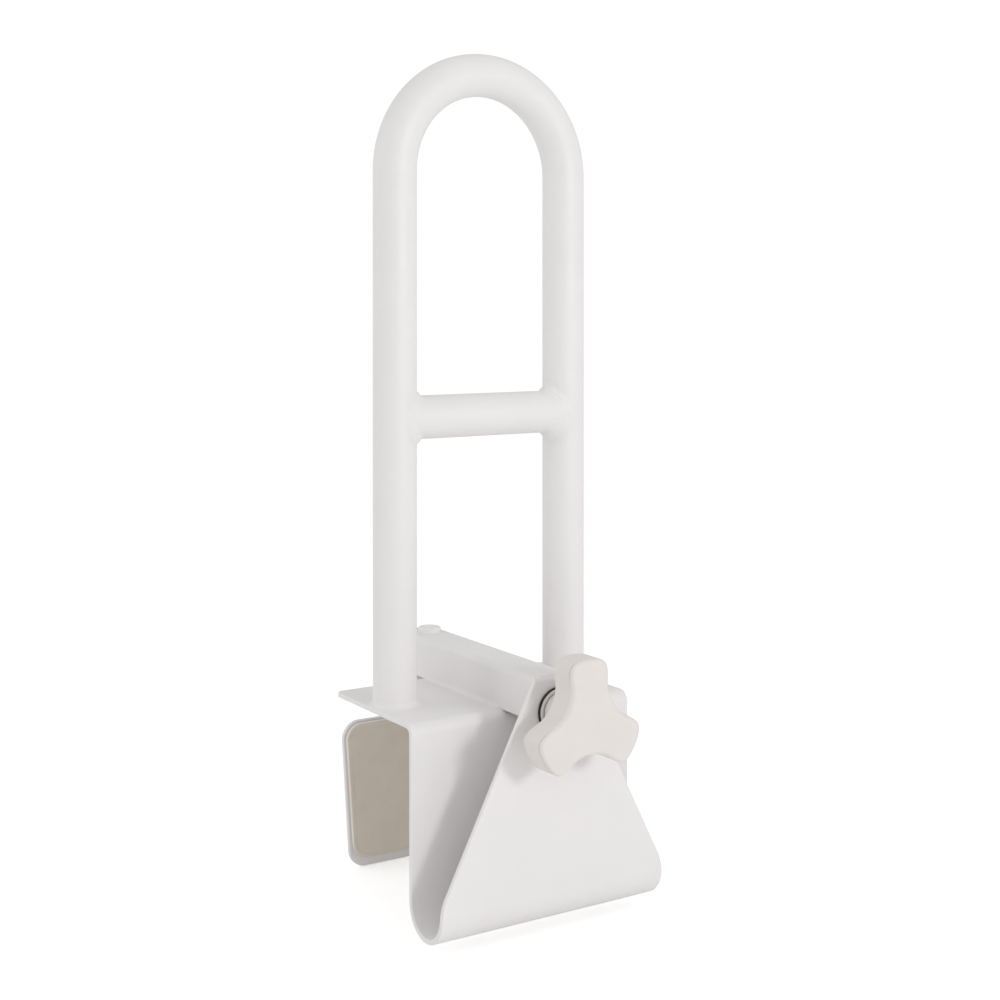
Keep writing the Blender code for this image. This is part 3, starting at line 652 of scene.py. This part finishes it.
def build_channel():
    """The guide channel, sunk a little into the plate and the flap, with the beads along its edges."""
    plate_sink, flap_sink = 0.4 * MM, 0.8 * MM
    arm = folded_channel("guide_channel_skin", ARM_HALF, SHEET - plate_sink, ARM_TOP, 4.0 * MM,
                         FLAP_REAR - flap_sink, ARM_REAR, "root", 0.45 * MM)
    dress(arm, "white_powder_coat", "guide_channel")
    for side, name in SIDES:
        node = "channel_weld_" + name
        build_seam("channel_weld_bead_" + name, (side * ARM_HALF, SHEET), (side, 1),
                   (low(node).y, high(node).y), "Y", 2.6 * MM, "root", node)
        node = "flap_weld_" + name
        build_seam("flap_weld_bead_" + name, (side * ARM_HALF, FLAP_REAR), (side, 1),
                   (SHEET, high(node).z), "Z", 2.4 * MM, "root", node)


def build_seam(name, corner, towards, along, across, leg, body, node):
    """A straight fillet of weld in an inside corner: concave face, soft ends, faint ripples."""
    start, end = along
    count = max(40, int((end - start) / (0.25 * MM)))
    bends, sink = 8, 0.5 * MM
    fine, coarse = 0.21 * MM, 3.1 * MM      # lengths of the ripples, a turn each 2 pi of these
    rings = []
    for i in range(count + 1):
        place = start + (end - start) * i / count
        from_end = min(place - start, end - place)
        swell = math.sqrt(max(0.02, 1 - (1 - min(from_end / leg, 1)) ** 2))
        size = leg * swell * (1 + 0.03 * math.sin(place / fine) + 0.04 * math.sin(place / coarse))
        section = [(-sink, -sink), (size * 0.6, -sink)]
        section += [(size * (1 - s), size * (1 - c)) for s, c in quarter(bends)]
        section.append((-sink, size * 0.6))
        ring = [(corner[0] + towards[0] * a, corner[1] + towards[1] * b) for a, b in section]
        rings.append(in_space(ring, across, place))
    dress(loft(name, rings, body), "white_powder_coat", node)


def build_stop_bolt():
    """A low round head with a shallow centre recess, painted over, and its shank and hexagon nut."""
    place = (low("stop_bolt") + high("stop_bolt")) / 2
    head = (high("stop_bolt").x - low("stop_bolt").x) / 2
    top, tip = high("stop_bolt").z, low("stop_bolt").z
    shank, axis_gap = 3.0 * MM, 0.05 * MM
    seat = ARM_TOP - 0.2 * MM
    profile = soft_profile([
        (axis_gap, tip, 0), (shank, tip, 0.4 * MM), (shank, seat, 0),
        (head, seat, 0), (head, top - 0.7 * MM, 0.35 * MM), (head - 0.9 * MM, top, 0.5 * MM),
        (3.1 * MM, top - 0.1 * MM, 0.2 * MM), (2.7 * MM, top - 0.7 * MM, 0.2 * MM),
        (axis_gap, top - 0.8 * MM, 0)])
    bolt = turned("stop_bolt_head", profile, (place.x, place.y, 0), (0, 0, 1), "root")
    dress(bolt, "white_powder_coat", "stop_bolt")

    bottom, upper = low("stop_nut").z, high("stop_nut").z
    corner = (high("stop_nut").y - low("stop_nut").y) / 2
    build_hexagon_nut("stop_nut_chamfered", (place.x, place.y), bottom, upper, corner, shank + 0.15 * MM)


def build_hexagon_nut(name, centre, bottom, top, corner, hole):
    """A hexagon nut, two corners along Y, with its corners turned off at 30 degrees on both faces."""
    sides, per_side = 6, 12
    lead_in, across_flats = 0.3 * MM, corner * math.cos(math.pi / 6)
    rings = []
    for k in range(sides * per_side):
        angle = 2 * math.pi * k / (sides * per_side) + math.pi / 2
        within = (k % per_side) / per_side * math.pi / 3 - math.pi / 6
        flat = across_flats / math.cos(within)
        cut = across_flats * 0.97
        drop = max(flat - cut, 0) * math.tan(math.radians(30))
        out = (math.cos(angle), math.sin(angle))
        section = [(hole, bottom + lead_in), (hole + lead_in, bottom), (cut, bottom), (flat, bottom + drop),
                   (flat, top - drop), (cut, top), (hole + lead_in, top), (hole, top - lead_in)]
        rings.append([(centre[0] + out[0] * r, centre[1] + out[1] * r, z) for r, z in section])
    nut = loft(name, rings, "root", closed=True)
    nut.data.set_sharp_from_angle(angle=math.radians(35))
    dress(nut, "zinc_plated_steel", "stop_nut")


def build_carriage():
    """The plated channel that slides in the guide channel, slotted from its rear end for the stop nut."""
    lowest, highest = low("jaw_carriage"), high("jaw_carriage")
    carriage = folded_channel("jaw_carriage_skin", highest.x, lowest.z, highest.z, 3.0 * MM,
                              lowest.y, highest.y, "jaw", 0.35 * MM)
    slot_half, slot_corner, past = 5.6 * MM, 1.5 * MM, 1.5 * MM
    slot_rear = highest.y + 10 * MM
    nut_corner = (high("stop_nut").y - low("stop_nut").y) / 2
    stop_y = (high("stop_nut").y + low("stop_nut").y) / 2
    travel = next(joint for joint in frame["joints"] if joint["name"] == "jaw_slide")["range_m"][1]
    slot_front = stop_y - travel - nut_corner - 0.3 * MM
    outline = rounded([(-slot_half, slot_front, slot_corner), (slot_half, slot_front, slot_corner),
                       (slot_half, slot_rear, 0), (-slot_half, slot_rear, 0)])
    cutter = loft("slot_cutter", [in_space(outline, "Z", highest.z - ARM_SHEET - past),
                                  in_space(outline, "Z", highest.z + past)], "jaw")
    # split into triangles first, so that the cut can't bridge the channel's open end
    triangulate(carriage)
    triangulate(cutter)
    subtract(carriage, cutter, "MANIFOLD", math.radians(40))
    dress(carriage, "zinc_plated_steel", "jaw_carriage")


def build_jaw():
    """The jaw plate with its neck, and the channel up its back that hangs it from the carriage."""
    lowest, highest = low("jaw_plate"), high("jaw_plate")
    neck = high("jaw_carriage").x
    shoulder, bottom_half, corner = -25.5 * MM, 47.4 * MM, 11 * MM
    outline = rounded([
        (-neck, highest.z, 0.8 * MM), (-neck, shoulder, 6 * MM), (-highest.x, shoulder, corner),
        (-bottom_half, lowest.z, corner), (bottom_half, lowest.z, corner), (highest.x, shoulder, corner),
        (neck, shoulder, 6 * MM), (neck, highest.z, 0.8 * MM)], math.radians(4))
    sheet = plate("jaw_plate_sheet", outline, lowest.y, highest.y, "Y", 0.7 * MM, "jaw")
    dress(sheet, "white_powder_coat", "jaw_plate")

    lowest, highest = low("jaw_leg"), high("jaw_leg")
    depth, fold, inner_fold = 15.7 * MM, 2.5 * MM, 0.4 * MM
    near, far = highest.y - depth, highest.y
    half, inside, floor = highest.x, highest.x - ARM_SHEET, highest.y - ARM_SHEET
    outline = rounded([
        (-half, near, 0), (-half, far, fold), (half, far, fold), (half, near, 0), (inside, near, 0),
        (inside, floor, inner_fold), (-inside, floor, inner_fold), (-inside, near, 0)], math.radians(9))
    leg = plate("jaw_leg_skin", outline, lowest.z, highest.z, "Z", 0.45 * MM, "jaw")
    dress(leg, "white_powder_coat", "jaw_leg")
    for side, name in SIDES:
        node = "jaw_weld_" + name
        build_seam("jaw_weld_bead_" + name, (side * half, high("jaw_plate").y), (side, 1),
                   (low(node).z, high(node).z), "Z", 2.3 * MM, "jaw", node)


def build_pad(name, node, outline, back, face, body):
    """A rubber pad: undercut at its back, soft at its edge, with a low moulded border round its face. Its
    side walls get a lighter cream colour, which is painted light for the light they catch.
    """
    normal = inward(outline)
    towards = math.copysign(1, face - back)
    thick = abs(face - back)
    sink, undercut, roll, border = 0.35 * MM, 0.9 * MM, 1.1 * MM, 0.28 * MM
    # rows of (distance in from the outline, height above the back)
    rows = [(1.6 * MM, -sink), (undercut, -sink), (undercut, 0.22 * thick), (0.0, 0.30 * thick),
            (0.0, 0.55 * thick)]
    rows += [(roll * (1 - c), 0.55 * thick + 0.45 * thick * s) for s, c in quarter(6)[1:]]
    rows += [(2.0 * MM, thick), (2.3 * MM, thick - 0.06 * MM), (2.6 * MM, thick - 0.22 * MM),
             (3.0 * MM, thick - border), (3.6 * MM, thick - border)]
    rings = [in_space(outline + normal * inset, "Y", back + towards * height) for inset, height in rows]
    pad = loft(name, rings, body)
    dress(pad, "taupe_rubber", node)
    # faces turned away from the pad's face take the lighter cream colour: painted light on the side walls
    pad.data.materials.append(PAD_SIDE_PAINTED_LIGHT)
    painted_light_wall_limit = 0.75
    for face_of_pad in pad.data.polygons:
        if abs(face_of_pad.normal.y) < painted_light_wall_limit:
            face_of_pad.material_index = 1


def build_pads():
    """The rear pad tapers down with its plate; the front pad is a plain rectangle."""
    lowest, highest = low("rear_pad"), high("rear_pad")
    bottom_half = 46.1 * MM
    radius = 10 * MM
    outline = rounded([(-highest.x, highest.z, radius), (-bottom_half, lowest.z, radius),
                       (bottom_half, lowest.z, radius), (highest.x, highest.z, radius)], math.radians(4))
    build_pad("rear_pad_rubber", "rear_pad", outline, highest.y, lowest.y, "jaw")
    lowest, highest = low("front_pad"), high("front_pad")
    outline = rounded([(lowest.x, highest.z, radius), (lowest.x, lowest.z, radius),
                       (highest.x, lowest.z, radius), (highest.x, highest.z, radius)], math.radians(4))
    build_pad("front_pad_rubber", "front_pad", outline, lowest.y, highest.y, "root")


# ---------------------------------------------------------------- screw, washers and knob

def build_screw():
    """A trapezoidal thread from the collar to the rear end; its lead is the jaw's travel per turn."""
    pitch, depth, point = 3.0 * MM, 1.0 * MM, 0.9 * MM
    front, rear = low("clamp_screw").y, high("clamp_screw").y
    plain_end = high("retaining_collar").y + 1.0 * MM
    around, per_turn = 48, 16
    rings = []
    places = [front, front + 0.5 * MM, plain_end]
    step = pitch / per_turn
    count = int((rear - 1.0 * MM - plain_end) / step)
    places += [plain_end + step * (k + 1) for k in range(count)] + [rear - 0.8 * MM, rear]
    for y in places:
        ring = []
        for j in range(around):
            angle = 2 * math.pi * j / around
            radius = SCREW_RADIUS
            if y > plain_end:
                turn = ((y - plain_end) / pitch + j / around) % 1.0
                wave = min(max(abs(turn - 0.5) * 2 * 1.9 - 0.45, 0), 1)     # flat crest, flank, flat root
                run_in = min((y - plain_end) / pitch, 1.0)
                radius -= depth * wave * run_in
            if y in (front, rear):
                radius = SCREW_RADIUS - point
            ring.append((radius * math.cos(angle), y, SCREW_Z + radius * math.sin(angle)))
        rings.append(ring)
    screw = loft("clamp_screw_threaded", rings, "knob")
    screw.data.set_sharp_from_angle(angle=math.radians(60))
    dress(screw, "zinc_plated_steel", "clamp_screw")


def build_washer(name, node, slot, body, edge, bore_radius):
    """A turned ring on the screw's axis with softened edges."""
    lowest, highest = low(node), high(node)
    radius = (highest.x - lowest.x) / 2
    front, rear = -lowest.y, -highest.y
    profile = soft_profile([(bore_radius, rear, edge * 0.6), (radius, rear, edge), (radius, front, edge),
                            (bore_radius, front, edge * 0.6)])
    dress(turned(name, profile, (0, 0, SCREW_Z), (0, -1, 0), body, 128), slot, node)


def build_washers():
    """The rings on the screw, and the pin through the collar, proud of it at both ends."""
    hole = SCREW_RADIUS + 0.3 * MM
    build_washer("friction_washer_disc", "friction_washer", "dark_nylon", "root", 0.3 * MM, hole)
    build_washer("knob_washer_disc", "knob_washer", "chrome_washer", "knob", 0.5 * MM, hole)
    build_washer("retaining_washer_disc", "retaining_washer", "zinc_plated_steel", "root", 0.25 * MM, hole)
    build_washer("retaining_collar_turned", "retaining_collar", "zinc_plated_steel", "knob", 0.6 * MM, hole)
    lowest, highest = low("collar_pin"), high("collar_pin")
    pin_y = (lowest.y + highest.y) / 2
    pin = (highest.y - lowest.y) / 2
    reach = highest.x + 0.7 * MM
    tip, chamfer = 0.02 * MM, 0.4 * MM
    profile = soft_profile([(tip, -reach, 0), (pin, -reach, chamfer), (pin, reach, chamfer),
                            (tip, reach, 0)])
    dress(turned("collar_pin_pressed", profile, (0, pin_y, SCREW_Z), (1, 0, 0), "knob", 32),
          "zinc_plated_steel", "collar_pin")


KNOB_FRONT, KNOB_HUB_REAR = low("knob_body").y, high("knob_body").y
KNOB_LOBE_REAR = KNOB_FRONT + 18.9 * MM
KNOB_TIP, KNOB_TIP_ARC = 34.2 * MM, 32.0 * MM       # reach of a lobe's tip, radius of its arc
KNOB_HALF, KNOB_CORNER = 12.2 * MM, 6.2 * MM        # half a lobe's width, radius at its corners
KNOB_VALLEY = 22.0 * MM                             # radius between the lobes
KNOB_REST_TURN = math.radians(1.5)
HUB = 11.2 * MM


def knob_plan(count):
    """The knob's outline about its axis, as radius at even angles; one lobe points up."""
    corners = []
    valley = KNOB_HALF / math.sin(math.pi / 3)
    half_turn = math.asin((KNOB_HALF - KNOB_CORNER) / (KNOB_TIP_ARC - KNOB_CORNER))
    arc_centre = KNOB_TIP - KNOB_TIP_ARC
    shoulder = arc_centre + (KNOB_TIP_ARC - KNOB_HALF * math.sin(half_turn)) / math.cos(half_turn)
    apex = arc_centre + KNOB_TIP_ARC / math.cos(half_turn)
    for k in range(3):
        lobe = math.pi / 2 + KNOB_REST_TURN + 2 * math.pi / 3 * k
        for along, across, radius in ((shoulder, -KNOB_HALF, KNOB_CORNER), (apex, 0, KNOB_TIP_ARC),
                                      (shoulder, KNOB_HALF, KNOB_CORNER)):
            corners.append((along * math.cos(lobe) - across * math.sin(lobe),
                            along * math.sin(lobe) + across * math.cos(lobe), radius))
        between = lobe + math.pi / 3
        corners.append((valley * math.cos(between), valley * math.sin(between), KNOB_VALLEY))
    outline = rounded(corners, math.radians(2))
    angle = np.unwrap(np.arctan2(outline[:, 1], outline[:, 0]))
    order = np.argsort(angle % (2 * math.pi))
    turn, reach = (angle % (2 * math.pi))[order], np.linalg.norm(outline, axis=1)[order]
    even = np.linspace(0, 2 * math.pi, count, endpoint=False)
    radius = np.interp(even, turn, reach, period=2 * math.pi)
    return even, np.stack([radius * np.cos(even), radius * np.sin(even)], 1)


def build_knob():
    """Three crowned lobes with rolled edges and a fine groove at each tip, and a round hub."""
    count = 432
    even, outline = knob_plan(count)
    normal = inward(outline)
    lobe = np.abs((even - math.pi / 2 - KNOB_REST_TURN + math.pi / 3) % (2 * math.pi / 3) - math.pi / 3)
    fade = np.clip((math.radians(35) - lobe) / math.radians(14), 0, 1)
    at_tip = fade * fade * (3 - 2 * fade)
    # the edges are rounded less at the tips than between the lobes
    roll = 3.0 * MM - 1.0 * MM * at_tip
    rear_edge = 3.2 * MM - 1.4 * MM * at_tip
    groove = 0.75 * MM * at_tip
    fall = 0.9 * MM
    hub_x, hub_z = np.cos(even), np.sin(even)

    def crown(points):
        """How far the front face falls back from the knob's front at a distance from the axis."""
        return fall * (np.linalg.norm(points, axis=1) / KNOB_TIP) ** 2

    rings = []

    def add(points, depth):
        depth = np.broadcast_to(depth, (count,))
        rings.append(np.stack([points[:, 0], depth, SCREW_Z + points[:, 1]], 1))

    def round_ring(radius):
        return np.stack([radius * hub_x, radius * hub_z], 1)

    # the pocket round the insert, then the hub and its blend into the lobes' rear face
    pocket, floor_edge, mouth_edge = 7.8 * MM, 0.3 * MM, 0.4 * MM
    pocket_end = low("knob_insert").y - 1.0 * MM
    for radius in (0.02 * MM, pocket * 0.5, pocket - floor_edge, pocket):
        add(round_ring(radius), pocket_end)
    for depth in (pocket_end + floor_edge, KNOB_HUB_REAR - mouth_edge):
        add(round_ring(pocket), depth)
    add(round_ring(pocket + mouth_edge), KNOB_HUB_REAR)
    hub_edge, blend_radius = 0.8 * MM, 1.5 * MM
    for s, c in quarter(5):
        add(round_ring(HUB - hub_edge * (1 - s)), KNOB_HUB_REAR - hub_edge * (1 - c))
    for s, c in quarter(5):
        add(round_ring(HUB + blend_radius * (1 - c)), KNOB_LOBE_REAR + blend_radius * (1 - s))
    under = outline + normal * rear_edge[:, None]
    start = round_ring(HUB + blend_radius)
    for share in (0.15, 0.5, 0.85):
        add(start + (under - start) * share, KNOB_LOBE_REAR)
    for s, c in quarter(6):
        add(outline + normal * (rear_edge * (1 - s))[:, None], KNOB_LOBE_REAR - rear_edge * (1 - c))
    # the side wall, with the groove just behind the rolled front edge
    face = KNOB_FRONT + crown(outline)
    wall_front = face + roll
    wall_rear = KNOB_LOBE_REAR - rear_edge
    groove_width = 0.9 * MM
    for share in (0.3, 0.6, 0.85):
        add(outline, wall_rear + (wall_front + groove_width - wall_rear) * share)
    for k, sink in enumerate((0.0, 0.12, 0.6, 1.0, 0.6, 0.12, 0.0)):
        add(outline + normal * (groove * sink)[:, None], wall_front + groove_width * (1 - k / 6))
    for s, c in quarter(12)[1:]:
        points = outline + normal * (roll * (1 - c))[:, None]
        add(points, face + roll * (1 - s) - (crown(outline) - crown(points)) * s)
    inner = outline + normal * roll[:, None]
    for share in (0.93, 0.84, 0.72, 0.6, 0.48, 0.36, 0.24, 0.12, 0.002):
        points = inner * share
        add(points, KNOB_FRONT + crown(points))
    dress(loft("knob_grip", rings, "knob"), "white_moulded_plastic", "knob_body")


def keep(node, slot):
    """A hidden CAD node whose own shape is right keeps it and takes the finish."""
    obj = frame["nodes"][node]
    if not obj.material_slots:
        obj.data.materials.append(FINISHES[slot])
    for place in obj.material_slots:
        place.material = FINISHES[slot]


# ---------------------------------------------------------------- studio

FLOOR_SEEN, FLOOR_GLOW = 0.42, 0.06     # the floor's own light, as seen and as it falls on the object
WORLD_SEEN, WORLD_GLOW = 1.05, 0.70


def build_floor():
    """A plain white floor just under the object."""
    floor_z = CAD_BOX[0].z - 0.3 * MM
    size = 30.0
    mesh = bpy.data.meshes.new("studio_floor")
    mesh.from_pydata([(-size, -size, floor_z), (size, -size, floor_z), (size, size, floor_z),
                      (-size, size, floor_z)], [], [(0, 1, 2, 3)])
    floor = bpy.data.objects.new("studio_floor", mesh)
    bpy.context.scene.collection.objects.link(floor)
    material, tree, shader = new_material("studio_white")
    shader.inputs["Base Color"].default_value = (0.9, 0.9, 0.9, 1)
    shader.inputs["Roughness"].default_value = 0.9
    shader.inputs["Specular IOR Level"].default_value = 0.1
    shader.inputs["Emission Color"].default_value = (1, 1, 1, 1)
    # the floor looks white from where it is seen, without lighting the object from below
    path = tree.nodes.new("ShaderNodeLightPath")
    glow = tree.nodes.new("ShaderNodeMath")
    glow.operation = "MULTIPLY_ADD"
    glow.inputs[1].default_value = FLOOR_SEEN - FLOOR_GLOW
    glow.inputs[2].default_value = FLOOR_GLOW
    tree.links.new(path.outputs["Is Camera Ray"], glow.inputs[0])
    tree.links.new(glow.outputs["Value"], shader.inputs["Emission Strength"])
    mesh.materials.append(material)


def area_light(name, place, aim, size, power):
    """A square soft light, aimed at a point."""
    light = bpy.data.lights.new(name, "AREA")
    light.shape = "SQUARE"
    light.size = size
    light.energy = power
    obj = bpy.data.objects.new(name, light)
    obj.location = place
    obj.rotation_mode = "QUATERNION"
    obj.rotation_quaternion = (Vector(aim) - Vector(place)).to_track_quat("-Z", "Y")
    bpy.context.scene.collection.objects.link(obj)


def build_studio():
    """White floor and background, a small nearly frontal key light, and two large soft lights."""
    build_floor()
    world = bpy.data.worlds.new("studio_world")
    bpy.context.scene.world = world
    world.use_nodes = True
    tree = world.node_tree
    background = tree.nodes["Background"]
    background.inputs["Color"].default_value = (1, 1, 1, 1)
    background.inputs["Strength"].default_value = WORLD_GLOW
    seen = tree.nodes.new("ShaderNodeBackground")
    seen.inputs["Color"].default_value = (1, 1, 1, 1)
    seen.inputs["Strength"].default_value = WORLD_SEEN
    path = tree.nodes.new("ShaderNodeLightPath")
    mix = tree.nodes.new("ShaderNodeMixShader")
    tree.links.new(path.outputs["Is Camera Ray"], mix.inputs["Fac"])
    tree.links.new(background.outputs["Background"], mix.inputs[1])
    tree.links.new(seen.outputs["Background"], mix.inputs[2])
    tree.links.new(mix.outputs["Shader"], tree.nodes["World Output"].inputs["Surface"])
    centre = (0, 0, 0.12)
    knob = (0, -0.08, 0)
    area_light("key", (0.25, -1.6, 0.48), knob, 0.26, 6.1)
    area_light("top", (0.1, -0.6, 1.7), centre, 1.0, 1.0)
    area_light("rear_left", (-1.2, 0.9, 0.7), centre, 1.0, 3.7)
    bpy.context.scene.view_settings.view_transform = "Standard"


def build_camera():
    """Level camera in front and to the left, a little above the handle's middle."""
    data = bpy.data.cameras.new("camera")
    data.sensor_width = 36.0
    data.lens = 58.51
    data.shift_y = -0.204
    data.clip_start, data.clip_end = 0.02, 100
    camera = bpy.data.objects.new("camera", data)
    camera.location = (-0.50977, -0.81983, 0.23749)
    camera.rotation_euler = (math.pi / 2, 0, -math.radians(32.52))
    bpy.context.scene.collection.objects.link(camera)
    bpy.context.scene.camera = camera


build_handle()
build_crossbar()
for direction, label in SIDES:
    build_crossbar_weld(direction, label)
    build_post_weld(direction, label)
build_bracket()
build_channel()
build_stop_bolt()
build_carriage()
build_jaw()
build_pads()
build_screw()
build_washers()
build_knob()
keep("knob_insert", "brass_insert")
keep("carriage_nut", "zinc_plated_steel")
build_studio()
build_camera()
